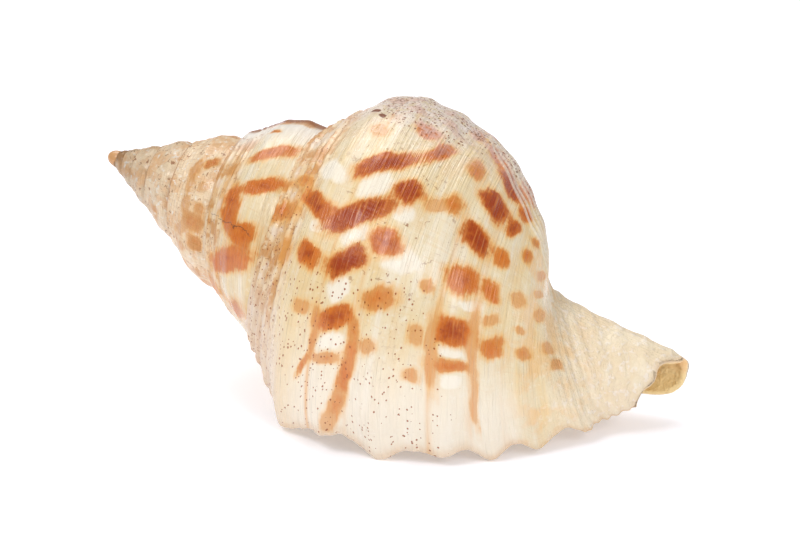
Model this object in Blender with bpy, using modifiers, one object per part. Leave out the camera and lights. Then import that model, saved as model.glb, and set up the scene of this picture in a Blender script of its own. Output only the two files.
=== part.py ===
"""Shell of a large triton sea snail, dry and empty, resting on the edge of its aperture.

Units are metres in Blender, and millimetres in every named size below. +Z is up.
The shell is one grown piece: a wall swept round an axis while it grows, from the apex to the lip.
A place on the wall is given by its turn, 0 at the apex and 8 at the lip, and by its share of the
way along the outline, 0 at the suture and 1 at the tip of the canal.
"""

import math

import bmesh
import bpy
import numpy as np
from mathutils import Matrix

MM = 0.001

# Growth of the spiral
TURNS = 8.0
GROWTH_PER_TURN = 1.548
FIRST_TURN = 0.9
SOLID_UNTIL_TURN = 5.2

# Outline of the wall at the lip, as distance from the axis and height from the apex
OUTLINE = (
    (38.1, -76.7),
    (41.9, -84.0),
    (55.7, -98.3),
    (59.1, -116.5),
    (56.1, -135.5),
    (36.9, -166.3),
    (19.0, -180.6),
    (8.5, -189.8),
)

# Wall thickness, and how deep its first edge is rooted in the whorl before
WALL = 3.2
LIP_WALL = 2.2
CANAL_WALL = 2.2
ROOT_DEPTH = 3.8

# Siphonal canal, an open half tube whose end is cut back and notched on the side of the lip
CANAL_FROM = 0.862
CANAL_UNTIL_TURN = (0.70, 1.02)
CANAL_SLANT = 5.5
CANAL_CUT = 0.03
CANAL_NOTCH = (0.24, 0.09, 0.019)
CANAL_WAISTS = ((0.85, 0.07, 5.0), (0.925, 0.05, 3.4))

# Last growth before the lip, which climbs the whorl before it
SUTURE_CLIMB = 4.6
LIP_CLIMB = 2.3

# Lip edge, as share along the outline and turns that the edge stands back
LIP_EDGE = (
    (0.00, 0.010),
    (0.10, -0.004),
    (0.23, -0.016),
    (0.33, 0.018),
    (0.40, 0.020),
    (0.465, 0.010),
    (0.52, 0.026),
    (0.577, 0.025),
    (0.62, 0.029),
    (0.668, 0.015),
    (0.71, 0.027),
    (0.75, 0.010),
    (0.80, 0.027),
    (0.85, 0.006),
    (0.91, -0.003),
    (1.00, 0.040),
)

# Spiral cords, as shares along the outline
CORDS = (0.24, 0.335, 0.43, 0.525, 0.595, 0.66, 0.725, 0.79, 0.855)
CORD_HEIGHT = 0.6
LIP_FLUTES = (0.225, 0.34, 0.462, 0.577, 0.665, 0.748, 0.85)
FLUTE_HEIGHT = 1.7

# Cords crowded under the suture
SUTURE_CORDS = (0.03, 0.065, 0.10, 0.14)
SUTURE_CORD_HEIGHT = 0.7

# Varices, the old lips, as turns behind the lip and height, and a knob between two of them
VARICES = ((0.40, 2.3), (0.69, 1.0), (1.37, 1.6), (2.03, 1.1), (2.70, 1.1), (3.37, 1.1), (4.04, 1.1))
SHOULDER_KNOB = (0.32, 0.33, 1.6)

# Dents, as turns behind the lip, share, half widths along both, and depth
DENTS = ((0.98, 0.24, 0.10, 0.12, 6.5), (0.40, 0.20, 0.06, 0.06, 2.4))

# Spire whorls, flatter than the last one and fuller next to the suture
SPIRE_FLATTENING = 2.6
SPIRE_SHOULDER = 1.6

# Columella, the pillar round which the whorls wind
PILLAR_TOP = 4.0
PILLAR_FOOT = 136.0
PILLAR_TOP_RADIUS = 1.5
PILLAR_FOOT_RADIUS = 6.5

# Worn tip of the apex
APEX_CENTRE = -5.0
APEX_RADIUS = 2.6
APEX_STRETCH = 1.35

# How the shell lies: heading and tilt of its axis, its roll about the axis, and its place
HEADING = 24.4
TILT = 14.6
ROLL = 55.4
SHELL_AT = (-88.52, 46.4, 61.52)

# Mesh
STEPS_PER_TURN = 72
OUTLINE_STEPS = 120
VOXEL = 1.0
SHARE_KEPT = 0.035


def ramp(x, low, high):
    """Smooth step from 0 at low to 1 at high."""
    s = np.clip((x - low) / (high - low), 0.0, 1.0)
    return s * s * (3.0 - 2.0 * s)


def spline(knots, points, at):
    """Natural cubic spline through points that stand at rising knots."""
    gap = np.diff(knots)
    count = len(knots)
    system = np.eye(count)
    right = np.zeros_like(points)
    for i in range(1, count - 1):
        system[i, i - 1] = gap[i - 1]
        system[i, i] = 2.0 * (gap[i - 1] + gap[i])
        system[i, i + 1] = gap[i]
        right[i] = 6.0 * ((points[i + 1] - points[i]) / gap[i] - (points[i] - points[i - 1]) / gap[i - 1])
    bend = np.linalg.solve(system, right)
    i = np.clip(np.searchsorted(knots, at) - 1, 0, count - 2)
    a = ((knots[i + 1] - at) / gap[i])[..., None]
    b = ((at - knots[i]) / gap[i])[..., None]
    h = (gap[i] ** 2)[..., None] / 6.0
    return a * points[i] + b * points[i + 1] + ((a**3 - a) * bend[i] + (b**3 - b) * bend[i + 1]) * h


def outline(share):
    """Points of the outline of the wall and its outward normals, at shares of the way along it."""
    points = np.array(OUTLINE)
    chord = np.linalg.norm(np.diff(points, axis=0), axis=1) ** 0.75
    knots = np.concatenate(([0.0], np.cumsum(chord))) / chord.sum()
    at = spline(knots, points, share)
    along = spline(knots, points, share + 0.002) - spline(knots, points, share - 0.002)
    along /= np.linalg.norm(along, axis=-1, keepdims=True)
    return at, np.stack((-along[..., 1], along[..., 0]), axis=-1)


def bump(x, centre, half_width):
    """Rounded bump of height 1 that has died away at about twice its half width."""
    return np.exp(-(((x - centre) / half_width) ** 2))


def relief(back, share):
    """Height of cords, flutes, varices and knob over the smooth wall, before it is scaled by growth."""
    body = ramp(share, 0.13, 0.22) * (1.0 - ramp(share, 0.86, 0.95))
    height = np.zeros(np.broadcast(back, share).shape)
    for cord in CORDS:
        height += CORD_HEIGHT * body * bump(share, cord, 0.022)
    on_spire = ramp(back, 0.95, 1.4)
    for cord in SUTURE_CORDS:
        height += SUTURE_CORD_HEIGHT * (1.0 - 0.6 * on_spire) * bump(share, cord, 0.011)
    near_lip = 1.0 - ramp(back, 0.0, 0.14)
    for flute in LIP_FLUTES:
        height += FLUTE_HEIGHT * near_lip * bump(share, flute, 0.026)
    across = ramp(share, 0.04, 0.22) * (1.0 - ramp(share, 0.55, 0.75))
    for at, rise in VARICES:
        height += rise * across * bump(back, at, 0.045)
    for at, width, depth in CANAL_WAISTS:
        height -= depth * bump(share, at, width) * ramp(back, 0.05, 0.25) * (1.0 - ramp(back, 0.5, 0.8))
    for behind, at, length, width, depth in DENTS:
        height -= depth * bump(back, behind, length) * bump(share, at, width)
    height -= on_spire * (SPIRE_FLATTENING * bump(share, 0.22, 0.1) - SPIRE_SHOULDER * bump(share, 0.06, 0.05))
    height += SHOULDER_KNOB[2] * bump(back, SHOULDER_KNOB[0], 0.045) * bump(share, SHOULDER_KNOB[1], 0.075)
    covered = ramp(share, 0.4, 0.48) * ramp(back, 0.95, 1.05)
    return height * (1.0 - covered)


def wall(turn, share, inward=0.0):
    """Points of the wall, its outer face or a face that lies inward by a share of its thickness."""
    turn, share = np.broadcast_arrays(turn, share)
    back = TURNS - turn
    growth = GROWTH_PER_TURN ** (-back)
    cut = CANAL_CUT * (1.0 - ramp(back, 0.02, 0.2)) + CANAL_NOTCH[2] * bump(back, CANAL_NOTCH[0], CANAL_NOTCH[1])
    share = share * (1.0 - cut * ramp(share, 0.85, 1.0))
    at, normal = outline(share)
    canal = ramp(share, CANAL_FROM, 1.0) * (1.0 - ramp(back, *CANAL_UNTIL_TURN))
    scale = growth * (1.0 - canal) + canal
    thick = WALL * growth ** 0.4
    thick = thick + (LIP_WALL - thick) * (1.0 - ramp(back, 0.0, 0.12))
    thick = thick + (CANAL_WALL - thick) * ramp(share, 0.8, 0.95)
    out = relief(back, share) * growth - inward * thick
    radius = at[..., 0] * scale + normal[..., 0] * out
    radius = radius - ROOT_DEPTH * growth * (1.0 - ramp(share, 0.0, 0.06))
    height = at[..., 1] * scale + normal[..., 1] * out
    height = height + LIP_CLIMB * np.clip(1.0 - back / 0.5, 0.0, 1.0) ** 2 * (1.0 - canal)
    height = height + SUTURE_CLIMB * np.clip(1.0 - back / 0.235, 0.0, 1.0) ** 2 * (1.0 - ramp(share, 0.0, 0.45))
    height = height - CANAL_SLANT * canal * ramp(back, 0.0, 0.5)
    edge = spline(np.array(LIP_EDGE)[:, 0], np.array(LIP_EDGE)[:, 1:], share)[..., 0]
    angle = 2.0 * math.pi * (back + edge * (1.0 - ramp(back, 0.0, 0.2)))
    return np.stack((radius * np.cos(angle), radius * np.sin(angle), height), axis=-1)


def lying():
    """Turn of the shell from its own frame, axis upright, to the way it lies."""
    heading, tilt, roll = (math.radians(angle) for angle in (HEADING, TILT, ROLL))
    return Matrix.Rotation(math.pi - heading, 4, "Z") @ Matrix.Rotation(math.pi / 2 - tilt, 4, "Y") @ \
        Matrix.Rotation(roll, 4, "Z")


def swept_wall():
    """Closed mesh of the thick wall of the last whorl, which is open inside."""
    turn = np.linspace(SOLID_UNTIL_TURN - 0.08, TURNS, round((TURNS - SOLID_UNTIL_TURN) * STEPS_PER_TURN))
    share = np.linspace(0.0, 1.0, OUTLINE_STEPS)
    section = np.concatenate((share, share[::-1]))
    inward = np.concatenate((share * 0.0, share * 0.0 + 1.0))
    points = wall(turn[:, None], section[None, :], inward[None, :])
    return ring_tube(points)


def swept_core():
    """Closed mesh of the older whorls, filled to the axis."""
    turn = np.linspace(FIRST_TURN, SOLID_UNTIL_TURN, round((SOLID_UNTIL_TURN - FIRST_TURN) * STEPS_PER_TURN))
    skin = wall(turn[:, None], np.linspace(0.0, 1.0, OUTLINE_STEPS)[None, :])
    down = np.linspace(1.0, 0.0, OUTLINE_STEPS)[None, :, None]
    axis = skin[:, -1:] * down + skin[:, :1] * (1.0 - down)
    axis[..., :2] *= 0.6 / np.linalg.norm(axis[..., :2], axis=-1, keepdims=True)
    return ring_tube(np.concatenate((skin, axis), axis=1))


def ring_tube(points):
    """Closed mesh through rings of points, whose two halves face each other across each end."""
    rows, columns = points.shape[:2]
    i = np.arange(rows - 1)[:, None] * columns
    j = np.arange(columns)[None, :]
    k = (j + 1) % columns
    faces = np.stack((i + j, i + k, i + columns + k, i + columns + j), axis=-1).reshape(-1, 4).tolist()
    for k in range(columns // 2 - 1):
        first = [k, columns - 1 - k, columns - 2 - k, k + 1]
        faces.append(first)
        faces.append([v + (rows - 1) * columns for v in reversed(first)])
    return points.reshape(-1, 3), faces


def shell_material():
    """Glossy aragonite, cream with brown marks, here in its mean colour."""
    material = bpy.data.materials.new("shell_aragonite")
    material.use_nodes = True
    surface = material.node_tree.nodes["Principled BSDF"]
    surface.inputs["Base Color"].default_value = (0.72, 0.56, 0.40, 1.0)
    surface.inputs["Roughness"].default_value = 0.35
    return material


def lofted(points, faces):
    """Mesh data of a closed loft."""
    mesh = bpy.data.meshes.new("loft")
    mesh.from_pydata(points.tolist(), [], faces)
    return mesh


def build():
    """The shell as one object in a collection of its own."""
    for item in list(bpy.data.objects):
        bpy.data.objects.remove(item, do_unlink=True)

    # Whorls, the pillar inside them and the worn tip, in the shell's own frame
    form = bmesh.new()
    form.from_mesh(lofted(*swept_wall()))
    form.from_mesh(lofted(*swept_core()))
    middle = Matrix.Translation((0.0, 0.0, -(PILLAR_TOP + PILLAR_FOOT) / 2.0))
    length = PILLAR_FOOT - PILLAR_TOP
    bmesh.ops.create_cone(form, cap_ends=True, segments=32, radius1=PILLAR_FOOT_RADIUS,
                          radius2=PILLAR_TOP_RADIUS, depth=length, matrix=middle)
    tip = Matrix.Translation((0.0, 0.0, APEX_CENTRE)) @ Matrix.Diagonal((1.0, 1.0, APEX_STRETCH, 1.0))
    bmesh.ops.create_uvsphere(form, u_segments=24, v_segments=16, radius=APEX_RADIUS, matrix=tip)

    # The way it lies, in metres
    form.transform(Matrix.Scale(MM, 4) @ Matrix.Translation(SHELL_AT) @ lying())
    mesh = bpy.data.meshes.new("shell")
    form.to_mesh(mesh)
    form.free()
    shell = bpy.data.objects.new("shell", mesh)
    shell.data.materials.append(shell_material())
    group = bpy.data.collections.new("conch_shell")
    bpy.context.scene.collection.children.link(group)
    group.objects.link(shell)

    # One skin round everything, then only as many triangles as the shape needs
    skin = shell.modifiers.new("one_skin", "REMESH")
    skin.mode = "VOXEL"
    skin.voxel_size = VOXEL * MM
    skin.use_smooth_shade = True
    fewer = shell.modifiers.new("fewer_triangles", "DECIMATE")
    fewer.ratio = SHARE_KEPT


build()
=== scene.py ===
"""Looks of the shell of a large triton sea snail that lies on its aperture on a pale table.

Blender 4.5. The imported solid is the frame, and one finely modelled piece stands in for it.
Sizes are in millimetres until a mesh is written, and metres in Blender. +Z is up.
"""

import math

import bmesh
import bpy
import numpy as np
from mathutils import Matrix, Vector


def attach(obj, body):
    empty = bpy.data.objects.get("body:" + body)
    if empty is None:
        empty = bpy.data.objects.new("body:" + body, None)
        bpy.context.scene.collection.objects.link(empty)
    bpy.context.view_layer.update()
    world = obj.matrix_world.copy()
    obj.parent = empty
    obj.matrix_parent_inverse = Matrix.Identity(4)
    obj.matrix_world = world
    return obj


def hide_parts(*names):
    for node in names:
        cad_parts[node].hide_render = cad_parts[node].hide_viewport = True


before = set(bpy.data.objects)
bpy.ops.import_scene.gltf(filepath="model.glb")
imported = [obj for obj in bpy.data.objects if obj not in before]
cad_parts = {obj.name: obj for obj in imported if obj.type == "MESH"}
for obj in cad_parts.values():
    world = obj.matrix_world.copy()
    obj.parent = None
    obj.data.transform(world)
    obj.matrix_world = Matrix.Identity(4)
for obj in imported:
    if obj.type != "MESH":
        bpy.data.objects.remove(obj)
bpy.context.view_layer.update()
MM = 0.001

# Form of the shell
# One wall of aragonite, laid down at the lip while the snail grew and turned about an axis.
# A place on it is a turn, 0 at the apex and 8 at the lip, and a share of the outline, 0 at the
# suture and 1 at the tip of the canal.
TURNS = 8.0
GROWTH_PER_TURN = 1.548
FIRST_TURN = 0.9
SOLID_UNTIL_TURN = 5.2
OUTLINE = (
    (38.1, -76.7),
    (41.9, -84.0),
    (55.7, -98.3),
    (59.1, -116.5),
    (56.1, -135.5),
    (36.9, -166.3),
    (19.0, -180.6),
    (8.5, -189.8),
)
OUTLINE_LENGTH = 175.0
WALL = 3.2
LIP_WALL = 2.2
CANAL_WALL = 2.2
ROOT_DEPTH = 3.8
CANAL_FROM = 0.862
CANAL_UNTIL_TURN = (0.70, 1.02)
CANAL_SLANT = 5.5
CANAL_CUT = 0.03
CANAL_NOTCH = (0.24, 0.09, 0.019)
CANAL_WAISTS = ((0.85, 0.07, 5.0), (0.925, 0.05, 3.4))
SUTURE_CLIMB = 4.6
LIP_CLIMB = 2.3
LIP_EDGE = (
    (0.00, 0.010),
    (0.10, -0.004),
    (0.23, -0.016),
    (0.33, 0.018),
    (0.40, 0.020),
    (0.465, 0.010),
    (0.52, 0.026),
    (0.577, 0.025),
    (0.62, 0.029),
    (0.668, 0.015),
    (0.71, 0.027),
    (0.75, 0.010),
    (0.80, 0.027),
    (0.85, 0.006),
    (0.91, -0.003),
    (1.00, 0.040),
)
CORDS = (0.24, 0.335, 0.43, 0.525, 0.595, 0.66, 0.725, 0.79, 0.855)
CORD_HEIGHT = 0.6
LIP_FLUTES = (0.225, 0.34, 0.462, 0.577, 0.665, 0.748, 0.85)
FLUTE_HEIGHT = 1.7
SUTURE_CORDS = (0.03, 0.065, 0.10, 0.14)
SUTURE_CORD_HEIGHT = 0.7
VARICES = ((0.40, 2.3), (0.69, 1.0), (1.37, 1.6), (2.03, 1.1), (2.70, 1.1), (3.37, 1.1), (4.04, 1.1))
SHOULDER_KNOB = (0.32, 0.33, 1.6)
DENTS = ((0.98, 0.24, 0.10, 0.12, 6.5), (0.40, 0.20, 0.06, 0.06, 2.4))
SPIRE_FLATTENING = 2.6
SPIRE_SHOULDER = 1.6
GROWTH_RIDGES = (0.346, 0.360, 0.374, 0.391, 0.408)
RIDGE_HEIGHT = 0.75
RIDGE_WIDTH = 0.0042
FOLD_SPACING = 0.027
FOLD_HEIGHT = 0.34
BEADS_PER_TURN = 58.0
BEAD_HEIGHT = 0.12
GROWTH_WAVE_HEIGHT = 0.30
FINE_WAVE_HEIGHT = 0.16
WORN_TOP = (0.355, 0.38, 1.8)
WORN_LUMP_HEIGHT = 0.55
NECK_CORD_SPACING = 0.021
NECK_CORD_HEIGHT = 0.28
NECK_BEADS_PER_TURN = 60.0
CANAL_CORNERS = ((0.44, 0.05, 0.010), (0.74, 0.07, 0.016))
LIP_RAGGEDNESS = 0.0016
CANAL_LIP_RAGGEDNESS = 0.010
OLD_LIP_EDGES = ((1.395, 1.6), (2.06, 0.7), (3.20, 0.8))
PILLAR_TOP = 4.0
PILLAR_FOOT = 136.0
PILLAR_TOP_RADIUS = 1.5
PILLAR_FOOT_RADIUS = 6.5
PILLAR_MIDDLE = 70.0
PILLAR_MIDDLE_RADIUS = 4.0
PILLAR_ROUNDING = 3.0
APEX_CENTRE = -5.0
APEX_RADIUS = 2.6
APEX_STRETCH = 1.35
HEADING = 24.4
TILT = 14.6
ROLL = 55.4
SHELL_AT = (-88.52, 46.4, 61.52)


def ramp(x, low, high):
    """Smooth step: with s running from 0 at low to 1 at high, s squared times 3 less 2 s."""
    s = np.clip((x - low) / (high - low), 0.0, 1.0)
    return s * s * (3.0 - 2.0 * s)


def bump(x, centre, half_width):
    """Bell curve: e to the power of minus the square of the distance over the half width."""
    return np.exp(-(((x - centre) / half_width) ** 2))


def spline(knots, points, at):
    """Natural cubic spline: cubic pieces that agree in slope and bend at each knot, with straight ends."""
    gap = np.diff(knots)
    count = len(knots)
    system = np.eye(count)
    right = np.zeros_like(points)
    for i in range(1, count - 1):
        system[i, i - 1] = gap[i - 1]
        system[i, i] = 2.0 * (gap[i - 1] + gap[i])
        system[i, i + 1] = gap[i]
        right[i] = 6.0 * ((points[i + 1] - points[i]) / gap[i] - (points[i] - points[i - 1]) / gap[i - 1])
    bend = np.linalg.solve(system, right)
    i = np.clip(np.searchsorted(knots, at) - 1, 0, count - 2)
    a = ((knots[i + 1] - at) / gap[i])[..., None]
    b = ((at - knots[i]) / gap[i])[..., None]
    h = (gap[i] ** 2)[..., None] / 6.0
    return a * points[i] + b * points[i + 1] + ((a**3 - a) * bend[i] + (b**3 - b) * bend[i + 1]) * h


def outline(share):
    """Spline through the outline's points, and the normal that is its direction turned a quarter turn."""
    points = np.array(OUTLINE)
    chord = np.linalg.norm(np.diff(points, axis=0), axis=1) ** 0.75
    knots = np.concatenate(([0.0], np.cumsum(chord))) / chord.sum()
    at = spline(knots, points, share)
    along = spline(knots, points, share + 0.002) - spline(knots, points, share - 0.002)
    along /= np.linalg.norm(along, axis=-1, keepdims=True)
    return at, np.stack((-along[..., 1], along[..., 0]), axis=-1)


def uneven(u, v, seed):
    """Value noise: seeded random numbers at whole u and v, blended between them by smooth steps."""
    u, v = np.broadcast_arrays(u, v)
    table = np.random.default_rng(seed).uniform(-1.0, 1.0, (64, 64))
    i, j = np.floor(u).astype(int), np.floor(v).astype(int)
    s, t = ramp(u - i, 0.0, 1.0), ramp(v - j, 0.0, 1.0)
    near = table[i % 64, j % 64] * (1.0 - t) + table[i % 64, (j + 1) % 64] * t
    far = table[(i + 1) % 64, j % 64] * (1.0 - t) + table[(i + 1) % 64, (j + 1) % 64] * t
    return near * (1.0 - s) + far * s


def growth_ridges(back, share):
    """Bell curves of the turn, where growth paused, that slant with the share, on the whorl's side."""
    on_side = ramp(share, 0.46, 0.58) * (1.0 - ramp(share, 0.78, 0.86))
    height = 0.0
    for at in GROWTH_RIDGES:
        ridge_at = at - 0.3 * (share - 0.6) + 0.003 * uneven(share * 22.0, at * 50.0, 8)
        height = height + RIDGE_HEIGHT * on_side * bump(back, ridge_at, RIDGE_WIDTH)
    return height


def fold_wave(back, share):
    """Sine of the share with one wave for each fold, its phase shifted by noise."""
    return np.sin(2.0 * math.pi * (share / FOLD_SPACING + 0.55 * uneven(back * 11.0, share * 9.0, 3)))


def fine_relief(back, share):
    """Folds as waves of the share, beads as a cosine of the turn, growth ridges and old lip edges as
    curves of the turn, and low waves of growth as noise. The worn top is a bell curve with lumps of
    noise on it. Cords on the canal's neck are a sine of the share, beaded by a cosine of the turn."""
    suture_side = 1.0 - ramp(share, 0.15, 0.22)
    folds = FOLD_HEIGHT * fold_wave(back, share) * (0.75 + 0.5 * uneven(back * 34.0, share * 20.0, 5))
    shifted = share * 9.0 + 0.7 * uneven(back * 20.0, share * 30.0, 4)
    beads = np.cos(2.0 * math.pi * (back * BEADS_PER_TURN + shifted))
    height = suture_side * (folds + BEAD_HEIGHT * beads)
    on_body = ramp(share, 0.16, 0.24)
    height = height + GROWTH_WAVE_HEIGHT * uneven(back * 13.0, share * 7.0, 6)
    height = height + FINE_WAVE_HEIGHT * on_body * uneven(back * 42.0, share * 13.0, 7)
    height = height + growth_ridges(back, share)
    lumps = uneven(back * 75.0, share * 32.0, 19) + 0.6 * uneven(back * 150.0, share * 70.0, 20)
    worn_turn, worn_share, worn_rise = WORN_TOP
    worn = bump(back, worn_turn, 0.05) * bump(share, worn_share, 0.15)
    height = height + worn * (worn_rise + WORN_LUMP_HEIGHT * lumps)
    for at, rise in OLD_LIP_EDGES:
        edge_at = at + 0.006 * uneven(share * 26.0, at * 10.0, 9)
        rising = rise * ramp(share, 0.02, 0.09) * ramp(back, edge_at - 0.03, edge_at)
        height = height + rising * (1.0 - ramp(back, edge_at, edge_at + 0.009))
    on_neck = ramp(share, 0.80, 0.88) * (1.0 - ramp(back, 0.6, 0.75))
    along_neck = np.cos(2.0 * math.pi * (back * NECK_BEADS_PER_TURN + share * 12.0))
    beaded = 1.2 + 0.9 * ramp(back, 0.2, 0.3) * along_neck
    neck_cords = np.sin(2.0 * math.pi * (share / NECK_CORD_SPACING + back * 2.0))
    return height + NECK_CORD_HEIGHT * on_neck * beaded * neck_cords


def relief(back, share):
    """Sum of bell curves, cords and flutes at set shares, varices and knob at set turns behind the
    lip, with the fine relief on top, and nothing where the next whorl covers it."""
    body = ramp(share, 0.13, 0.22) * (1.0 - ramp(share, 0.86, 0.95))
    height = np.zeros(np.broadcast(back, share).shape)
    for cord in CORDS:
        height += CORD_HEIGHT * body * bump(share, cord, 0.022)
    on_spire = ramp(back, 0.95, 1.4)
    for cord in SUTURE_CORDS:
        height += SUTURE_CORD_HEIGHT * (1.0 - 0.6 * on_spire) * bump(share, cord, 0.011)
    near_lip = 1.0 - ramp(back, 0.0, 0.14)
    for flute in LIP_FLUTES:
        height += FLUTE_HEIGHT * near_lip * bump(share, flute, 0.026)
    across = ramp(share, 0.04, 0.22) * (1.0 - ramp(share, 0.55, 0.75))
    for at, rise in VARICES:
        height += rise * across * bump(back, at, 0.045)
    for at, width, depth in CANAL_WAISTS:
        height -= depth * bump(share, at, width) * ramp(back, 0.05, 0.25) * (1.0 - ramp(back, 0.5, 0.8))
    for behind, at, length, width, depth in DENTS:
        height -= depth * bump(back, behind, length) * bump(share, at, width)
    flattening = SPIRE_FLATTENING * bump(share, 0.22, 0.1) - SPIRE_SHOULDER * bump(share, 0.06, 0.05)
    height -= on_spire * flattening
    knob_turn, knob_share, knob_rise = SHOULDER_KNOB
    height += knob_rise * bump(back, knob_turn, 0.045) * bump(share, knob_share, 0.075)
    covered = ramp(share, 0.4, 0.48) * ramp(back, 0.95, 1.05)
    return (height + fine_relief(back, share)) * (1.0 - covered)


def wall(turn, share, inward=0.0):
    """Outline scaled by growth to the power of the turns still to grow, pushed out by the relief and
    in by a share of the wall's thickness, then turned round the axis by a full circle for each turn."""
    turn, share = np.broadcast_arrays(turn, share)
    back = TURNS - turn
    growth = GROWTH_PER_TURN ** (-back)
    cut = CANAL_CUT * (1.0 - ramp(back, 0.02, 0.2))
    for behind, half_width, depth in (CANAL_NOTCH, *CANAL_CORNERS):
        cut = cut + depth * bump(back, behind, half_width)
    share = share * (1.0 - cut * ramp(share, 0.85, 1.0))
    at, normal = outline(share)
    canal = ramp(share, CANAL_FROM, 1.0) * (1.0 - ramp(back, *CANAL_UNTIL_TURN))
    scale = growth * (1.0 - canal) + canal
    thick = WALL * growth ** 0.4
    thick = thick + (LIP_WALL - thick) * (1.0 - ramp(back, 0.0, 0.12))
    thick = thick + (CANAL_WALL - thick) * ramp(share, 0.8, 0.95)
    out = relief(back, share) * growth - inward * thick
    radius = at[..., 0] * scale + normal[..., 0] * out
    radius = radius - ROOT_DEPTH * growth * (1.0 - ramp(share, 0.0, 0.06))
    height = at[..., 1] * scale + normal[..., 1] * out
    height = height + LIP_CLIMB * np.clip(1.0 - back / 0.5, 0.0, 1.0) ** 2 * (1.0 - canal)
    near_suture = 1.0 - ramp(share, 0.0, 0.45)
    height = height + SUTURE_CLIMB * np.clip(1.0 - back / 0.235, 0.0, 1.0) ** 2 * near_suture
    height = height - CANAL_SLANT * canal * ramp(back, 0.0, 0.5)
    edge = spline(np.array(LIP_EDGE)[:, 0], np.array(LIP_EDGE)[:, 1:], share)[..., 0]
    edge = edge + LIP_RAGGEDNESS * uneven(share * 95.0, back * 0.0, 10)
    at_canal = ramp(share, 0.84, 0.95)
    edge = edge + CANAL_LIP_RAGGEDNESS * at_canal * uneven(share * 60.0, back * 0.0, 11)
    angle = 2.0 * math.pi * (back + edge * (1.0 - ramp(back, 0.0, 0.2)))
    return np.stack((radius * np.cos(angle), radius * np.sin(angle), height), axis=-1)


def lying():
    """Roll about the axis, then tilt of the axis from upright, then its heading, then its place."""
    heading, tilt, roll = (math.radians(angle) for angle in (HEADING, TILT, ROLL))
    return Matrix.Translation(SHELL_AT) @ Matrix.Rotation(math.pi - heading, 4, "Z") @ \
        Matrix.Rotation(math.pi / 2 - tilt, 4, "Y") @ Matrix.Rotation(roll, 4, "Z")


# Mesh of the thick wall
# Close rows of points where the wall is seen, wide ones inside it. The outer face runs round
# the rim by rounded rings and on to the inner face.
def spaced(*spans):
    """Numbers from the first start to the last end, in equal steps within each (start, end, steps)."""
    parts = [np.linspace(start, end, steps, endpoint=False) for start, end, steps in spans]
    return np.concatenate(parts + [[spans[-1][1]]])


def rim_of(rows, columns):
    """Row and column of each point round the rim of a grid, once round."""
    right = np.arange(columns - 1)
    down = np.arange(rows - 1)
    row = np.concatenate((right * 0, down, right * 0 + rows - 1, rows - 1 - down))
    column = np.concatenate((right, down * 0 + columns - 1, columns - 1 - right, down * 0))
    return row, column


def quads(rows, columns, first, flip=False):
    """Four-cornered faces of a grid of points that are numbered row by row."""
    i = np.arange(rows - 1)[:, None] * columns + np.arange(columns - 1)[None, :] + first
    corners = (i, i + columns, i + columns + 1, i + 1) if flip else (i, i + 1, i + columns + 1, i + columns)
    return np.stack(corners, axis=-1).reshape(-1, 4).tolist()


def places_of(turn, share, inward):
    """Turn, share and inward share of each point of a grid, row by row."""
    return np.stack(np.broadcast_arrays(turn[:, None], share[None, :], inward), axis=-1).reshape(-1, 3)


def thick_wall(turn, share, ring_steps=6):
    """Outer grid, rings round the rim that follow half a circle as wide as the wall, and an inner
    grid with every second row and column, joined to the last ring by five-cornered faces."""
    rows, columns = len(turn), len(share)
    row, column = rim_of(rows, columns)
    at_lip = (row == rows - 1).astype(float)
    at_canal = (column == columns - 1).astype(float)
    rim_turn, rim_share = turn[row], share[column]
    out = wall(rim_turn, rim_share)
    forward = out - wall(rim_turn - 0.004, rim_share)
    onward = out - wall(rim_turn, rim_share - 0.01)
    reach = np.linalg.norm(forward, axis=1, keepdims=True)
    radius = np.minimum(LIP_WALL / 2, reach * 0.8) / reach
    lip_shift = forward * radius * at_lip[:, None]
    canal_shift = onward / np.linalg.norm(onward, axis=1, keepdims=True) * CANAL_WALL / 2
    canal_shift = canal_shift * at_canal[:, None]

    outer = wall(turn[:, None], share[None, :])
    inner_turn, inner_share = turn[::2], share[::2]
    inner = wall(inner_turn[:, None], inner_share[None, :], 1.0)
    outer[row, column] -= lip_shift + canal_shift
    inner[row[::2] // 2, column[::2] // 2] -= (lip_shift + canal_shift)[::2]

    points = [outer.reshape(-1, 3)]
    places = [places_of(turn, share, 0.0)]
    faces = quads(rows, columns, 0)
    count = rows * columns
    last = row * columns + column
    for step in range(1, ring_steps):
        sweep = math.pi * step / ring_steps
        inward = (1.0 - math.cos(sweep)) / 2
        ring = wall(rim_turn, rim_share, inward) - (lip_shift + canal_shift) * (1.0 - math.sin(sweep))
        points.append(ring)
        places.append(np.stack((rim_turn, rim_share, rim_share * 0 + inward), axis=-1))
        this = np.arange(len(row)) + count
        faces += np.stack((last, this, np.roll(this, -1), np.roll(last, -1)), axis=-1).tolist()
        last = this
        count += len(row)
    points.append(inner.reshape(-1, 3))
    places.append(places_of(inner_turn, inner_share, 1.0))
    faces += quads(len(inner_turn), len(inner_share), count, flip=True)
    near = (row[::2] // 2) * len(inner_share) + column[::2] // 2 + count
    joint = (last[::2], near, np.roll(near, -1), np.roll(last, -2)[::2], last[1::2])
    faces += np.stack(joint, axis=-1).tolist()
    return np.concatenate(points), np.concatenate(places), faces


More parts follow.
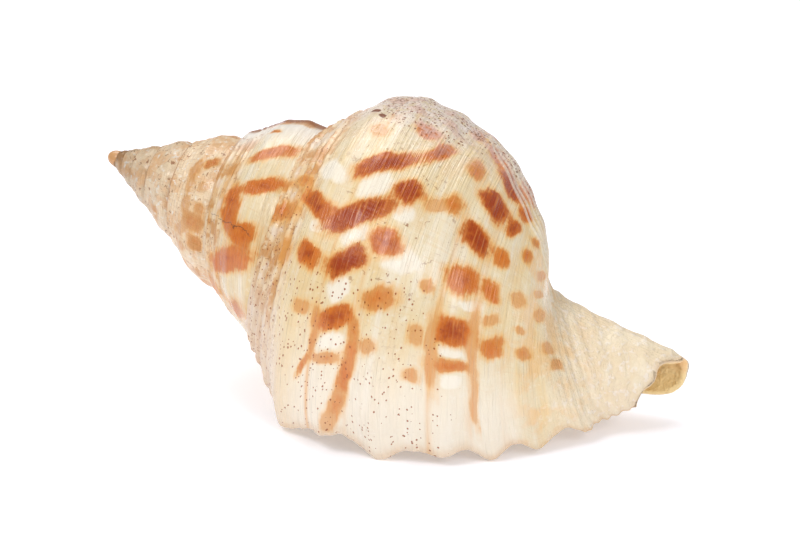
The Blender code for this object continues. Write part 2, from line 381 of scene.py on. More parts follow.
def filled_core(turn, share, axis_steps=12):
    """Rings of the outer face and of a line near the axis, one after another, closed at both ends."""
    skin = wall(turn[:, None], share[None, :])
    down = np.linspace(1.0, 0.0, axis_steps)[None, :, None]
    axis = skin[:, -1:] * down + skin[:, :1] * (1.0 - down)
    axis[..., :2] *= 0.6 / np.linalg.norm(axis[..., :2], axis=-1, keepdims=True)
    rings = np.concatenate((skin, axis), axis=1)
    rows, columns = rings.shape[:2]
    i = np.arange(rows - 1)[:, None] * columns
    j = np.arange(columns)[None, :]
    k = (j + 1) % columns
    faces = np.stack((i + j, i + k, i + columns + k, i + columns + j), axis=-1).reshape(-1, 4).tolist()
    faces.append(list(range(columns))[::-1])
    faces.append([v + (rows - 1) * columns for v in range(columns)])
    ring_share = np.concatenate((share, np.full(axis_steps, 0.9)))
    return rings.reshape(-1, 3), places_of(turn, ring_share, 0.0), faces


def turned(radius, height, steps=48):
    """Profile turned round the axis, each point on a circle, with its first and last point on the axis."""
    angle = np.arange(steps) * 2.0 * math.pi / steps
    radius = radius[1:-1]
    points = np.zeros((len(radius), steps, 3))
    points[..., 0] = radius[:, None] * np.cos(angle)
    points[..., 1] = radius[:, None] * np.sin(angle)
    points[..., 2] = height[1:-1, None]
    count = len(radius) * steps
    k = np.arange(steps)
    m = np.roll(k, -1)
    i = np.arange(len(radius) - 1)[:, None] * steps
    faces = np.stack((i + m, i + k, i + steps + k, i + steps + m), axis=-1).reshape(-1, 4).tolist()
    faces += np.stack((k, m, k * 0 + count), axis=-1).tolist()
    faces += np.stack((count - steps + m, count - steps + k, k * 0 + count + 1), axis=-1).tolist()
    ends = np.array(((0.0, 0.0, height[0]), (0.0, 0.0, height[-1])))
    return np.concatenate((points.reshape(-1, 3), ends)), faces


last_whorls = spaced(
    (SOLID_UNTIL_TURN - 0.04, 6.57, 98),
    (6.57, 6.63, 18),
    (6.63, 7.0, 34),
    (7.0, 7.56, 96),
    (7.56, 7.70, 54),
    (7.70, 7.99, 82),
    (7.99, TURNS, 2),
)
wall_share = spaced((0.0, 0.20, 44), (0.20, 0.46, 34), (0.46, 0.80, 36), (0.80, 1.0, 48))
first_whorls = spaced((FIRST_TURN, 3.0, 90), (3.0, SOLID_UNTIL_TURN, 150))
core_share = spaced((0.0, 0.16, 14), (0.16, 0.46, 22), (0.46, 1.0, 10))

shell_points, shell_places, shell_faces = thick_wall(last_whorls, wall_share)
core_points, core_places, core_faces = filled_core(first_whorls, core_share)
pillar_points, pillar_faces = turned(
    np.array((
        0.0, PILLAR_TOP_RADIUS, PILLAR_MIDDLE_RADIUS, PILLAR_FOOT_RADIUS, PILLAR_FOOT_RADIUS * 0.6, 0.0,
    )),
    -np.array((
        PILLAR_TOP, PILLAR_TOP, PILLAR_MIDDLE, PILLAR_FOOT - PILLAR_ROUNDING, PILLAR_FOOT, PILLAR_FOOT,
    )),
)
cap_angle = np.linspace(0.0, math.pi, 17)
apex_points, apex_faces = turned(
    APEX_RADIUS * np.sin(cap_angle),
    APEX_CENTRE + APEX_RADIUS * APEX_STRETCH * np.cos(cap_angle),
)
pillar_places = np.tile((7.5, 1.0, 1.0), (len(pillar_points), 1))
apex_places = np.tile((FIRST_TURN, 0.2, 0.0), (len(apex_points), 1))

vertices = []
places = []
faces = []
first = 0
for piece_points, piece_places, piece_faces in (
    (shell_points, shell_places, shell_faces),
    (core_points, core_places, core_faces),
    (pillar_points, pillar_places, pillar_faces),
    (apex_points, apex_places, apex_faces),
):
    vertices.append(piece_points)
    places.append(piece_places)
    faces += [[corner + first for corner in face] for face in piece_faces]
    first += len(piece_points)
vertices = np.concatenate(vertices)
places = np.concatenate(places)
turn_at, share_at, inward_at = places.T
back_at = TURNS - turn_at

mesh = bpy.data.meshes.new("shell")
mesh.from_pydata((vertices * MM).tolist(), [], faces)
shell = bpy.data.objects.new("shell_wall", mesh)
bpy.context.collection.objects.link(shell)
mesh.transform(Matrix.Scale(MM, 4) @ lying() @ Matrix.Scale(1 / MM, 4))
skin = bmesh.new()
skin.from_mesh(mesh)
bmesh.ops.recalc_face_normals(skin, faces=skin.faces)
skin.to_mesh(mesh)
skin.free()
mesh.shade_smooth()

# Markings of the shell
# Pigment laid down at the lip with each stretch of growth: brown bars in rows between the cords,
# orange lines that join them, and nearly white patches between bars. Each is an ellipse on the
# wall, given by degrees before the lip, share, half length, half width, slant and depth of tone.
# The listed ones were read off a photograph and worked out as places on the wall.
MARKS = (
    (95, 0.342, 8.3, 2.1, -48, 0.95), (108, 0.442, 5.3, 1.6, -30, 0.85), (114, 0.394, 2.9, 2, -82, 0.8),
    (107, 0.29, 2.4, 2.1, 46, 0.3), (89, 0.42, 3.6, 2.8, -40, 1), (75, 0.212, 7.1, 2.1, 72, 0.9),
    (76, 0.332, 9.5, 2.7, -49, 1), (71, 0.414, 3.6, 2.8, -53, 0.85), (59, 0.242, 3.7, 2.4, 75, 0.85),
    (61, 0.34, 5.5, 2.2, -50, 1), (54, 0.428, 4.4, 2, -55, 0.55), (43, 0.342, 4.3, 2.5, -69, 0.85),
    (45, 0.26, 2.3, 1.7, 86, 0.4), (63, 0.52, 1.7, 1.3, -61, 0.45), (70, 0.588, 4.4, 3.1, -74, 0.8),
    (71, 0.65, 2.4, 1.9, 13, 0.7), (86, 0.59, 4.1, 3.1, 83, 1), (86, 0.65, 2.2, 1.7, 17, 0.7),
    (104, 0.6, 4.1, 3.4, 61, 1), (112, 0.538, 3.2, 1.9, -13, 0.6), (93, 0.522, 2.6, 2.1, -33, 0.6),
    (89, 0.486, 2.7, 1.6, -64, 0.3), (102, 0.656, 2.9, 1.6, -26, 0.9), (122, 0.62, 4.5, 3.4, 43, 1),
    (130, 0.564, 3.7, 3.1, 50, 0.8), (115, 0.674, 3.1, 1.9, -26, 0.8), (135, 0.658, 5.5, 2.8, 3, 0.75),
    (133, 0.498, 3.4, 2, -3, 0.6), (96, 0.708, 1.7, 1.4, -12, 0.6), (107, 0.722, 1.7, 1.3, -37, 0.55),
    (95, 0.764, 2.6, 0.8, -45, 0.4), (73, 0.708, 1.8, 1.6, -45, 0.35), (84, 0.762, 1.8, 0.8, -53, 0.3),
    (51, 0.592, 4.8, 2.8, -83, 0.9), (50, 0.666, 2.6, 2.2, -72, 0.65), (46, 0.52, 2.2, 1.9, -2, 0.35),
    (38, 0.426, 2.4, 1.4, -42, 0.4), (31, 0.52, 1.7, 1.5, -85, 0.4), (50, 0.734, 2.1, 1.1, -71, 0.5),
    (60, 0.718, 1.4, 0.8, -65, 0.4), (72, 0.776, 2, 1.2, -65, 0.35), (56, 0.8, 2.4, 1.3, -84, 0.35),
    (45, 0.822, 2.2, 1.1, -79, 0.4), (60, 0.656, 2.2, 1.1, -67, 0.4), (37, 0.588, 5, 1, -90, 0.6),
    (29, 0.336, 3.5, 1.2, -85, 0.45), (40, 0.386, 2.7, 1.5, 3, 0.5), (33, 0.388, 3.7, 1.5, -7, 0.6),
    (24, 0.38, 4.4, 1.4, -14, 0.65), (13, 0.366, 5.3, 1.7, -14, 0.5), (6, 0.35, 3, 1.8, -7, 0.35),
    (42, 0.302, 3.6, 0.8, 14, 0.45), (34, 0.306, 3.6, 0.9, -1, 0.5), (27, 0.288, 3.8, 1, -38, 0.6),
    (42, 0.556, 8.8, 1.2, 5, 0.3), (48, 0.626, 8.2, 1.3, 5, 0.3), (25, 0.638, 7.1, 0.9, 6, 0.3),
    (84, 0.122, 3.9, 1.1, 79, 0.5), (82, 0.04, 2.7, 1.5, 89, 0.5), (69, 0.066, 6.6, 2.2, -74, 0.55),
    (57, 0.15, 2.9, 2.5, 54, 0.3), (44, 0, 1.7, 0.9, 22, 0.4), (439, 0.311, 6.7, 1.7, -62, 0.8),
    (427, 0.193, 3.8, 2.9, 36, 0.8), (417, 0.208, 3.8, 2.7, 50, 0.75), (413, 0.293, 4.4, 2, -56, 0.75),
    (395, 0.222, 10.1, 2.7, -54, 0.75), (459, 0.293, 7, 1.8, -64, 0.75), (810, 0.335, 1.6, 1.1, -44, 0.6),
    (761, 0.316, 3.9, 2.1, -71, 0.5), (747, 0.354, 1.8, 1.4, -84, 0.5), (357, 0.066, 5.9, 2.4, -41, 0.5),
    (368, 0.255, 4.8, 2.7, -42, 0.6), (360, 0.34, 4.5, 1.7, -30, 0.6),
)
PALE_PATCHES = (
    (87, 0.342, 7, 3.9, -44), (69, 0.34, 5.9, 3.6, -51), (52, 0.336, 4.7, 3.9, -59),
    (68, 0.242, 3.5, 2.6, -84), (87, 0.216, 7.3, 3.6, 64), (81, 0.424, 3.8, 3, -61),
    (43, 0.592, 3.4, 2.2, -83), (31, 0.594, 3.5, 2.3, 79), (68, 0.454, 5.9, 4.8, -55),
    (63, 0.61, 4.5, 1.6, -70), (35, 0.342, 3.4, 2.9, -90),
)
HOLES = ((119.0, 0.244, 1.5, 0.9, 70.0), (115.0, 0.274, 1.3, 0.7, 60.0), (137.0, 0.194, 1.3, 0.8, 80.0))
ROWS_BEHIND = (0.24, 0.34, 0.43, 0.53, 0.60, 0.66, 0.72, 0.78)
# Each line has its share, half width, the turns before the lip where it starts to fade, and strength.
LINES = (
    (0.300, 0.006, 0.50, 0.55),
    (0.384, 0.008, 0.16, 0.35),
    (0.475, 0.007, 0.30, 0.25),
    (0.556, 0.007, 0.20, 0.50),
    (0.626, 0.007, 0.20, 0.55),
    (0.690, 0.006, 0.30, 0.30),
    (0.755, 0.006, 0.30, 0.25),
)


def marks_behind():
    """Seeded marks on the side away from the lip and on the spire: one for most crossings of a row
    with every 17 degrees, as large as the whorl is there."""
    draw = np.random.default_rng(21)
    degrees, share = np.meshgrid(np.arange(147.0, 1100.0, 17.3), ROWS_BEHIND, indexing="ij")
    degrees = degrees + draw.uniform(-3.5, 3.5, degrees.shape)
    growth = GROWTH_PER_TURN ** (-degrees / 360.0)
    share = share + draw.uniform(-0.009, 0.009, share.shape)
    length = draw.uniform(2.4, 6.2, share.shape) * (1.3 - share) * growth
    width = length * draw.uniform(0.42, 0.8, share.shape)
    slant = draw.uniform(-75.0, -30.0, share.shape)
    tone = draw.uniform(0.4, 1.0, share.shape) * (1.0 - 0.65 * ramp(degrees, 450.0, 560.0))
    kept = draw.random(share.shape) < 0.78 - 0.3 * ramp(degrees, 450.0, 560.0)
    kept &= (share < 0.4) | (degrees < 380.0)
    kept &= (degrees < 338.0) | (degrees > 470.0)
    return np.stack((degrees, share, length, width, slant, tone), axis=-1)[kept]


def wandering(seed):
    """Millimetres by which outlines of marks wander: coarse noise with finer noise on it."""
    finer = uneven(back_at * 80.0, share_at * 45.0, seed + 1)
    return 0.8 * (uneven(back_at * 30.0, share_at * 16.0, seed) + 0.6 * finer)


def nearness(ellipses):
    """Distance of each vertex from each ellipse's centre over its reach that way: 1 on its edge. The
    ellipse is a squarish one: the cube root of the sum of the cubes along its two half widths."""
    degrees, share, length, width, slant = ellipses.T[:5]
    turn = TURNS - degrees / 360.0
    turn_length = np.linalg.norm(wall(turn + 0.004, share) - wall(turn - 0.004, share), axis=1) / 0.008
    share_length = np.linalg.norm(wall(turn, share + 0.01) - wall(turn, share - 0.01), axis=1) / 0.02
    along = (turn_at[:, None] - turn) * turn_length + wandering(14)[:, None]
    across = (share_at[:, None] - share) * share_length + wandering(17)[:, None]
    turned_by = np.radians(slant)
    onward = (along * np.cos(turned_by) + across * np.sin(turned_by)) / length
    sideways = (across * np.cos(turned_by) - along * np.sin(turned_by)) / width
    return np.cbrt(np.abs(onward) ** 3 + np.abs(sideways) ** 3)


def before_lip(full_until, gone_at):
    """One less a smooth step of the turns before the lip."""
    return 1.0 - ramp(back_at, full_until, gone_at)


def between(low, full_from, full_until, high):
    """Smooth step up of the share, times one less a smooth step further on."""
    return ramp(share_at, low, full_from) * (1.0 - ramp(share_at, full_until, high))


# Half sizes are drawn a tenth and a third of a millimetre larger than they are listed. Marks that
# touch join in one outline, by the logarithm of the sum of their powers of e.
MARK_SPREAD = 1.10
MARK_MARGIN = 0.35
JOINING = 7.0
PATCH_BESIDE_MARK = (8.6, 0.0, 0.6, 0.8, 0.0)
CRACK_AT = 1.153
BODY_RADIUS = 55.0

outer_face = 1.0 - ramp(inward_at, 0.05, 0.4)
all_marks = np.concatenate((np.array(MARKS), marks_behind()))
all_marks[:, 2:4] = all_marks[:, 2:4] * MARK_SPREAD + MARK_MARGIN
distance = np.minimum(nearness(all_marks), 4.0)
weight = np.exp(-2.5 * distance**2) + 1e-12
tone = (weight * all_marks[:, 5]).sum(axis=1) / weight.sum(axis=1)
joined = -np.log(np.exp(-JOINING * distance).sum(axis=1)) / JOINING
behind = all_marks[len(MARKS):]
behind = behind[behind[:, 0] < 340.0]
patches = np.concatenate((np.array(PALE_PATCHES), behind[:, :5] + PATCH_BESIDE_MARK))
lines = sum(
    depth * bump(share_at, at, width) * (1.0 - 0.65 * ramp(back_at, reach, reach + 0.12))
    for at, width, reach, depth in LINES
)
lines = lines * (0.75 + 0.5 * uneven(back_at * 24.0, share_at * 30.0, 12)) * before_lip(1.0, 1.4)
whorl_side = 1.0 - ramp(share_at, 0.15, 0.21)
worn_top = 1.3 * bump(back_at, 0.358, 0.045) * bump(share_at, 0.34, 0.17)
worn_top = worn_top + 0.8 * bump(back_at, 0.385, 0.025) * between(0.15, 0.3, 0.75, 0.9)
pore_zone = before_lip(0.12, 0.24) * (1.0 - ramp(share_at, 0.5, 0.65))
pore_zone = pore_zone * (0.7 + 0.3 * uneven(back_at * 40.0, share_at * 16.0, 13))
pores_in_folds = 0.4 * whorl_side * before_lip(1.0, 1.3)
lip_edge = bump(back_at, 0.0, 0.011)
canal_edge = bump(share_at, 1.0, 0.008) * before_lip(0.4, 0.5)
crack_line = CRACK_AT + 0.004 * uneven(share_at * 40.0, back_at * 0.0, 16)
glaze = ramp(share_at, 0.40, 0.47) * ramp(back_at, 0.98, 1.06)
fields = {
    "mark": np.clip(1.0 - joined, -1.5, 1.0),
    "tone": tone,
    "toned": 0.45 + 0.55 * ramp(tone, 0.1, 0.8),
    "pale": np.clip(1.0 - nearness(patches).min(axis=1), -1.0, 1.0),
    "line": np.clip(lines, 0.0, 1.0),
    "folded": whorl_side,
    # Highest in the grooves between the folds, where the painted shade goes.
    "fold_groove_shade": whorl_side * (0.5 - 0.5 * fold_wave(back_at, share_at)),
    "worn": np.clip(worn_top, 0.0, 1.0),
    "pores": np.clip(0.13 + 0.8 * pore_zone + pores_in_folds + worn_top, 0.0, 1.0),
    "spire": ramp(back_at, 1.36, 1.46),
    "tip": 1.0 - ramp(turn_at, 1.7, 2.0),
    "neck": ramp(share_at, 0.74, 0.88),
    "inside": np.maximum(1.0 - outer_face, glaze),
    "outside": outer_face * (1.0 - glaze),
    "edge": np.clip(lip_edge + canal_edge, 0.0, 1.0) * (1.0 - ramp(inward_at, 0.55, 0.9)),
    "crack_side": (back_at - crack_line) * 200.0,
    "cracked": bump(back_at, CRACK_AT, 0.03) * between(0.05, 0.08, 0.31, 0.34),
    # Painted shade along the groove of the suture, where one whorl meets the next.
    "suture": bump(share_at, 0.02, 0.028) * ramp(back_at, 0.9, 1.4),
    "rim": bump(back_at, 1.386, 0.017) * ramp(share_at, 0.03, 0.1) + 0.5 * bump(back_at, 2.056, 0.008),
    "chalk": before_lip(0.05, 0.14) * (1.0 - ramp(share_at, 0.18, 0.3)),
    "margin": before_lip(0.03, 0.16) * between(0.2, 0.3, 0.66, 0.78),
    # A painted highlight on the top of the penultimate whorl, where light from above falls.
    "lit_top_sheen": bump(np.mod(back_at, 1.0), 0.37, 0.07) * ramp(back_at, 1.0, 1.2) * before_lip(2.0, 2.2),
    "tracked": bump(back_at, 0.22, 0.09) * bump(share_at, 0.40, 0.16),
    "flow": between(0.18, 0.24, 0.36, 0.44) * before_lip(0.2, 0.3),
    "pitted": np.clip(worn_top * (0.75 + 0.9 * uneven(back_at * 60.0, share_at * 28.0, 21)), 0.0, 1.0),
    "hole": np.clip(1.4 - nearness(np.array(HOLES)).min(axis=1), -1.0, 1.0),
    "ridge": ramp(growth_ridges(back_at, share_at), 0.0, 0.6),
    "flank": between(0.66, 0.76, 0.86, 0.95) * before_lip(0.3, 0.4),
}
fields["mark"] = np.where(outer_face > 0.5, fields["mark"] - 2.0 * glaze, -1.5)
for name, values in fields.items():
    mesh.attributes.new(name, "FLOAT", "POINT").data.foreach_set("value", values.astype(np.float32))
grown = mesh.uv_layers.new(name="growth")
corner_at = np.zeros(len(mesh.loops), dtype=np.int32)
mesh.loops.foreach_get("vertex_index", corner_at)
girth_mm = 2.0 * math.pi * BODY_RADIUS
growth_uv = np.stack((back_at * girth_mm, share_at * OUTLINE_LENGTH), axis=-1)[corner_at]
grown.data.foreach_set("uv", growth_uv.astype(np.float32).ravel())


# Surface of the shell
# Aragonite, the lime of shells, with a thin glossy top layer, cream with pigment in it, dulled and
# pitted where sand has worn it. It gives broad soft highlights that break up over the threads.
def linear(code):
    """Linear colour of an sRGB hex value: c and 0.055 over 1.055, to the power of 2.4, or c over 12.92
    near black."""
    channels = np.array([int(code[i:i + 2], 16) / 255.0 for i in (1, 3, 5)])
    channels = np.where(channels > 0.04045, ((channels + 0.055) / 1.055) ** 2.4, channels / 12.92)
    return (*channels.tolist(), 1.0)


def add(kind, sockets, output=0, **settings):
    """One output of a new node of this kind with its settings. Each socket gets a value, or a link
    where the value is another node's output."""
    made = tree.nodes.new(kind)
    for name, value in settings.items():
        setattr(made, name, value)
    for key, value in sockets.items():
        if isinstance(value, bpy.types.NodeSocket):
            tree.links.new(value, made.inputs[key])
        else:
            made.inputs[key].default_value = value
    return made.outputs[output]


aragonite = bpy.data.materials.new("aragonite")
aragonite.use_nodes = True
tree = aragonite.node_tree
surface = tree.nodes["Principled BSDF"]
masks = {name: add("ShaderNodeAttribute", {}, "Fac", attribute_name=name) for name in fields}
in_metres = add("ShaderNodeTexCoord", {}, "Object")
grown_mm = add("ShaderNodeUVMap", {}, uv_map="growth")

# Patterns of growth and wear
# Each has its cells along three directions, to a metre of the object or to a millimetre of the
# growth, where the first runs along the threads and the second from suture to canal.
PATTERNS = {
    "wide": (in_metres, (45.0, 45.0, 45.0), 3.0),
    "patchy": (in_metres, (160.0, 160.0, 160.0), 3.0),
    "ragged": (in_metres, (550.0, 550.0, 550.0), 4.0),
    "grain": (in_metres, (2200.0, 2200.0, 2200.0), 3.0),
    "thread": (grown_mm, (0.045, 0.95, 1.0), 2.0),
    "growth_line": (grown_mm, (1.1, 0.05, 1.0), 3.0),
    "banded": (grown_mm, (0.02, 0.16, 1.0), 3.0),
}
for name, (place, cells, detail) in PATTERNS.items():
    scaled = add("ShaderNodeMapping", {"Vector": place, "Scale": cells})
    noise = {"Vector": scaled, "Scale": 1.0, "Detail": detail, "Roughness": 0.58}
    masks[name] = add("ShaderNodeTexNoise", noise)

# Pores
# Pin-holes left by sponges and worms, filled with dark dirt. They are drawn up to 0.8 mm wide,
# coarser than most, because finer ones only look grey in the picture.
for name, place, cells, widest, where in (
    ("pore", grown_mm, (0.68, 0.74, 1.0), 0.25, "pores"),
    ("pit", in_metres, (900.0, 900.0, 900.0), 0.36, "pitted"),
):
    scaled = add("ShaderNodeMapping", {"Vector": place, "Scale": cells})
    chance = add("ShaderNodeTexVoronoi", {"Vector": scaled, "Scale": 1.0, "Randomness": 0.9}, "Color")
    reach = add("ShaderNodeTexVoronoi", {"Vector": scaled, "Scale": 1.0, "Randomness": 0.9}, "Distance")
    width = add("ShaderNodeMath", {0: masks[where], 1: chance}, operation="SUBTRACT")
    width = add("ShaderNodeMapRange", {"Value": width, "From Max": 0.3, "To Min": 0.0, "To Max": widest})
    masks[name] = add("ShaderNodeMath", {0: reach, 1: width}, operation="LESS_THAN")

# Cracks, worm tracks and edges of the marks
# A hairline crack wanders with a ragged pattern, and so do the edges of the pigment, which also
# follow the threads. Worm tracks are short dark veins, where a pattern is near its middle.
wander = add("ShaderNodeMath", {0: masks["ragged"], 1: 2.6, 2: masks["crack_side"]}, operation="MULTIPLY_ADD")
wander = add("ShaderNodeMath", {0: wander, 1: 1.3}, operation="SUBTRACT")
wander = add("ShaderNodeMath", {0: wander}, operation="ABSOLUTE")
masks["crack"] = add("ShaderNodeMapRange", {"Value": wander, "From Min": 0.14, "From Max": 0.04},
                     interpolation_type="SMOOTHSTEP")
edge = masks["mark"]
for follows, bend in (("patchy", 0.45), ("thread", 0.60), ("ragged", 0.45)):
    edge = add("ShaderNodeMath", {0: masks[follows], 1: bend, 2: edge}, operation="MULTIPLY_ADD")
masks["edge_of_mark"] = edge
masks["pigment"] = add("ShaderNodeMapRange", {"Value": edge, "From Min": 0.50, "From Max": 0.98},
                       interpolation_type="SMOOTHSTEP")
deep = add("ShaderNodeMath", {0: masks["mark"], 1: 0.25, 2: masks["tone"]}, operation="MULTIPLY_ADD")
masks["depth"] = add("ShaderNodeMath", {0: masks["ragged"], 1: 0.45, 2: deep}, operation="MULTIPLY_ADD")
vein = add("ShaderNodeMath", {0: masks["patchy"], 1: 0.5}, operation="SUBTRACT")
vein = add("ShaderNodeMath", {0: vein}, operation="ABSOLUTE")
vein = add("ShaderNodeMath", {0: masks["ragged"], 1: 0.20, 2: vein}, operation="MULTIPLY_ADD")
masks["vein"] = add("ShaderNodeMapRange", {"Value": vein, "From Min": 0.100, "From Max": 0.086})
masks["pale_edge"] = add("ShaderNodeMath", {0: masks["patchy"], 1: 0.9, 2: masks["pale"]},
                         operation="MULTIPLY_ADD")

# Colour
# Cream, then one coat over another. Each coat has what it follows, the values between which it comes
# in, how thick it gets, where it is, and its colour.
colour = linear("#E6D5B2")
for follows, low, high, most, where, tint in (
    ("wide", 0.40, 0.60, 1.0, None, "#E4D0A8"),
    ("patchy", 0.40, 0.68, 0.55, None, "#DFC296"),
    ("banded", 0.50, 0.68, 0.60, None, "#E7C88C"),
    ("banded", 0.48, 0.36, 0.65, None, "#ECE0CA"),
    ("ragged", 0.55, 0.70, 0.35, None, "#F0E9DA"),
    ("growth_line", 0.52, 0.75, 0.30, None, "#DDB67C"),
    ("flow", 0.0, 1.0, 0.28, None, "#E6C27A"),
    ("neck", 0.0, 1.0, 0.80, None, "#F0DDBD"),
    ("ragged", 0.45, 0.70, 0.35, "neck", "#E0B894"),
    ("banded", 0.46, 0.60, 0.55, "neck", "#F6E9D0"),
    ("ragged", 0.52, 0.64, 0.55, "neck", "#FBF3E8"),
    ("patchy", 0.40, 0.66, 0.65, "flank", "#ECC083"),
    ("folded", 0.0, 1.0, 0.85, None, "#E9CDA4"),
    ("banded", 0.46, 0.60, 0.60, "folded", "#D0964E"),
    ("patchy", 0.48, 0.60, 0.75, "folded", "#C58338"),
    ("patchy", 0.46, 0.36, 0.60, "folded", "#E6D6C6"),
    ("chalk", 0.0, 1.0, 0.70, None, "#DFC9B0"),
    ("margin", 0.0, 1.0, 0.75, None, "#EFE6D6"),
    # Painted shade: a darker tan in the grooves between the folds.
    ("fold_groove_shade", 0.55, 1.0, 0.45, "patchy", "#BC8344"),
    # Painted highlight: near white on the top of the penultimate whorl.
    ("lit_top_sheen", 0.0, 1.0, 0.85, None, "#FAF3EA"),
    ("spire", 0.0, 1.0, 0.92, None, "#F6DCB8"),
    ("patchy", 0.42, 0.66, 0.80, "spire", "#E8B47C"),
    ("growth_line", 0.52, 0.68, 0.35, "spire", "#C08648"),
    ("ragged", 0.56, 0.68, 0.85, "spire", "#FBF0E2"),
    ("vein", 0.0, 1.0, 0.75, "spire", "#98561F"),
    ("vein", 0.0, 1.0, 0.55, "folded", "#A0602A"),
    ("vein", 0.0, 1.0, 0.80, "tracked", "#8E4C18"),
    # Painted shade: a darker brown line in the groove along the suture.
    ("suture", 0.2, 0.9, 0.75, None, "#B87840"),
    ("pale_edge", 0.42, 0.82, 0.85, None, "#F2E9D8"),
    ("line", 0.05, 0.75, 0.75, None, "#DFA050"),
    ("edge_of_mark", 0.10, 0.80, 0.80, "toned", "#E6AE60"),
    ("pigment", 0.0, 1.0, 0.92, "toned", "#D0883C"),
    ("depth", 0.74, 1.10, 0.92, "pigment", "#CC6C1C"),
    ("depth", 1.05, 1.42, 0.90, "pigment", "#962F02"),
    ("thread", 0.52, 0.66, 0.40, "pigment", "#DD8E48"),
    # The worn top is chalky, and this pinkish white there is partly that wear and partly a painted sheen of
    # light from above.
    ("ragged", 0.30, 0.60, 0.80, "worn", "#F6E8E2"),
    ("patchy", 0.48, 0.64, 0.60, "worn", "#DCB2A2"),
    ("grain", 0.52, 0.62, 0.40, "worn", "#B08468"),
    ("ridge", 0.25, 0.9, 0.55, None, "#F1E6D2"),
    ("edge", 0.0, 0.9, 0.80, "patchy", "#CFA06A"),
    ("rim", 0.1, 0.9, 0.90, None, "#9A5A28"),
    ("tip", 0.3, 0.7, 0.90, None, "#C08A52"),
    ("pore", 0.0, 1.0, 0.90, None, "#94480F"),
    ("pit", 0.0, 1.0, 0.75, None, "#8C5222"),
    ("hole", 0.0, 0.3, 0.95, None, "#82400F"),
    ("crack", 0.0, 1.0, 0.85, "cracked", "#6A3A16"),
    ("inside", 0.0, 1.0, 1.0, None, "#F7DA9C"),
    ("wide", 0.42, 0.62, 0.8, "inside", "#EFBC7C"),
):
    rising = {"Value": masks[follows], "From Min": low, "From Max": high, "To Max": most}
    amount = add("ShaderNodeMapRange", rising, interpolation_type="SMOOTHSTEP")
    if where:
        amount = add("ShaderNodeMath", {0: amount, 1: masks[where]}, operation="MULTIPLY")
    colour = add("ShaderNodeMix", {0: amount, 6: colour, 7: linear(tint)}, 2, data_type="RGBA")
tree.links.new(colour, surface.inputs["Base Color"])

# Gloss and fine relief
# Threads about a millimetre apart, growth lines as close across them, grain, and pits where it is
# worn. Both follow the masks, the gloss by shares of roughness and the relief by millimetres of
# height.
roughness = 0.16
for follows, more in (("ragged", 0.16), ("worn", 0.20), ("spire", 0.16), ("folded", 0.12), ("neck", 0.10)):
    roughness = add("ShaderNodeMath", {0: masks[follows], 1: more, 2: roughness}, operation="MULTIPLY_ADD")
tree.links.new(roughness, surface.inputs["Roughness"])
surface.inputs["IOR"].default_value = 1.5
surface.inputs["Coat Weight"].default_value = 0.25
surface.inputs["Coat Roughness"].default_value = 0.10
height = 0.0
for follows, low, high, rise_mm, where in (
    ("thread", 0.3, 0.7, 0.24, "outside"),
    ("growth_line", 0.3, 0.7, 0.05, "outside"),
    ("grain", 0.3, 0.7, 0.02, None),
    ("ragged", 0.3, 0.7, 0.20, "worn"),
    ("grain", 0.5, 0.62, -0.16, "worn"),
    ("ragged", 0.3, 0.7, 0.38, "neck"),
    ("growth_line", 0.3, 0.7, 0.12, "spire"),
    ("hole", 0.0, 0.3, -0.20, None),
    ("pit", 0.0, 1.0, -0.06, None),
    ("crack", 0.0, 1.0, -0.15, "cracked"),
):
    rising = {"Value": masks[follows], "From Min": low, "From Max": high, "To Max": rise_mm}
    step = add("ShaderNodeMapRange", rising)
    if where:
        step = add("ShaderNodeMath", {0: step, 1: masks[where]}, operation="MULTIPLY")
    height = add("ShaderNodeMath", {0: height, 1: step}, operation="ADD")
bumped = add("ShaderNodeBump", {"Strength": 1.0, "Distance": MM, "Height": height})
tree.links.new(bumped, surface.inputs["Normal"])
mesh.materials.append(aragonite)
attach(shell, "root")
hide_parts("shell")

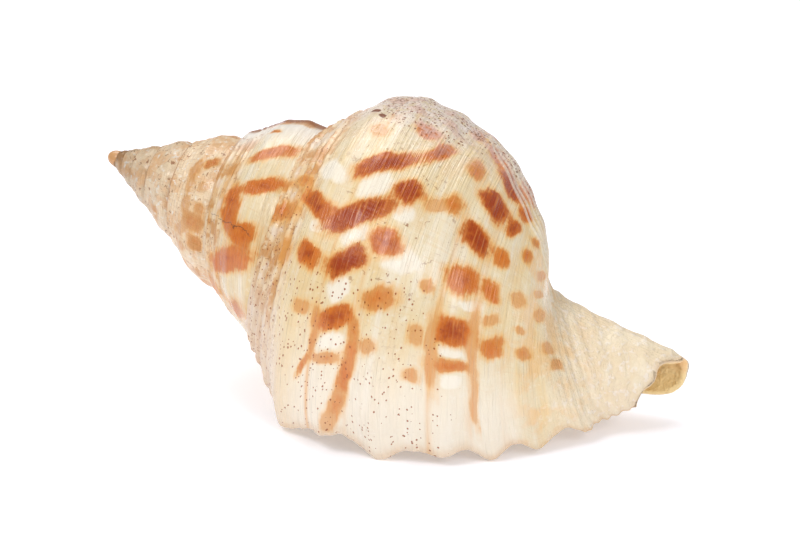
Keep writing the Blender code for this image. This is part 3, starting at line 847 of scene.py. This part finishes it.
# Table
# A wide white sheet that the shell lies on, lit softly from all round. It glows a little itself.
floor_mesh = bpy.data.meshes.new("table_top")
floor_mesh.from_pydata([(-6, -6, 0), (6, -6, 0), (6, 6, 0), (-6, 6, 0)], [], [(0, 1, 2, 3)])
floor = bpy.data.objects.new("table_top", floor_mesh)
bpy.context.collection.objects.link(floor)
paper = bpy.data.materials.new("white_paper")
paper.use_nodes = True
sheet = paper.node_tree.nodes["Principled BSDF"]
sheet.inputs["Base Color"].default_value = linear("#EFF0F9")
sheet.inputs["Roughness"].default_value = 0.8
sheet.inputs["Emission Color"].default_value = linear("#FFFEFF")
sheet.inputs["Emission Strength"].default_value = 0.34
floor_mesh.materials.append(paper)

# Studio light
# Three soft lamps in a white room, which glossy rays see at two fifths of its strength.
world = bpy.data.worlds.new("studio")
world.use_nodes = True
tree = world.node_tree
mirrored = add("ShaderNodeLightPath", {}, "Is Glossy Ray")
strength = add("ShaderNodeMath", {0: mirrored, 1: -0.30, 2: 0.50}, operation="MULTIPLY_ADD")
tree.links.new(strength, tree.nodes["Background"].inputs["Strength"])
tree.nodes["Background"].inputs["Color"].default_value = linear("#FFFFFF")
bpy.context.scene.world = world
bpy.context.scene.view_settings.view_transform = "Standard"


def softbox(name, at, target, size, power):
    """Square area lamp at a place, its face turned to a target."""
    lamp = bpy.data.lights.new(name, "AREA")
    lamp.shape = "SQUARE"
    lamp.size = size
    lamp.energy = power
    holder = bpy.data.objects.new(name, lamp)
    bpy.context.collection.objects.link(holder)
    holder.location = at
    holder.rotation_euler = (Vector(target) - Vector(at)).to_track_quat("-Z", "Y").to_euler()


softbox("left_softbox", (-0.42, -0.42, 0.85), (-0.02, 0.0, 0.04), 0.30, 3.2)
softbox("right_softbox", (0.38, -0.70, 0.62), (0.02, 0.0, 0.04), 0.34, 2.2)
softbox("back_softbox", (-0.20, 0.50, 0.80), (0.0, 0.0, 0.05), 0.50, 4.0)

# Camera
# A short telephoto view from the side of the lip, a little above the shell.
CAMERA_AT = (0.00958, -0.62396, 0.29458)
CAMERA_FORWARD = (-0.0091, 0.9258, -0.3779)
CAMERA_UP = (0.0234, 0.3780, 0.9255)
CAMERA_LENS = 101.95
lens = bpy.data.cameras.new("photo_view")
lens.lens = CAMERA_LENS
lens.sensor_width = 36.0
lens.clip_end = 50.0
camera = bpy.data.objects.new("photo_view", lens)
bpy.context.collection.objects.link(camera)
backward = -Vector(CAMERA_FORWARD).normalized()
rightward = Vector(CAMERA_UP).cross(backward).normalized()
upward = backward.cross(rightward)
facing = Matrix((rightward, upward, backward)).transposed().to_4x4()
camera.matrix_world = Matrix.Translation(CAMERA_AT) @ facing
bpy.context.scene.camera = camera
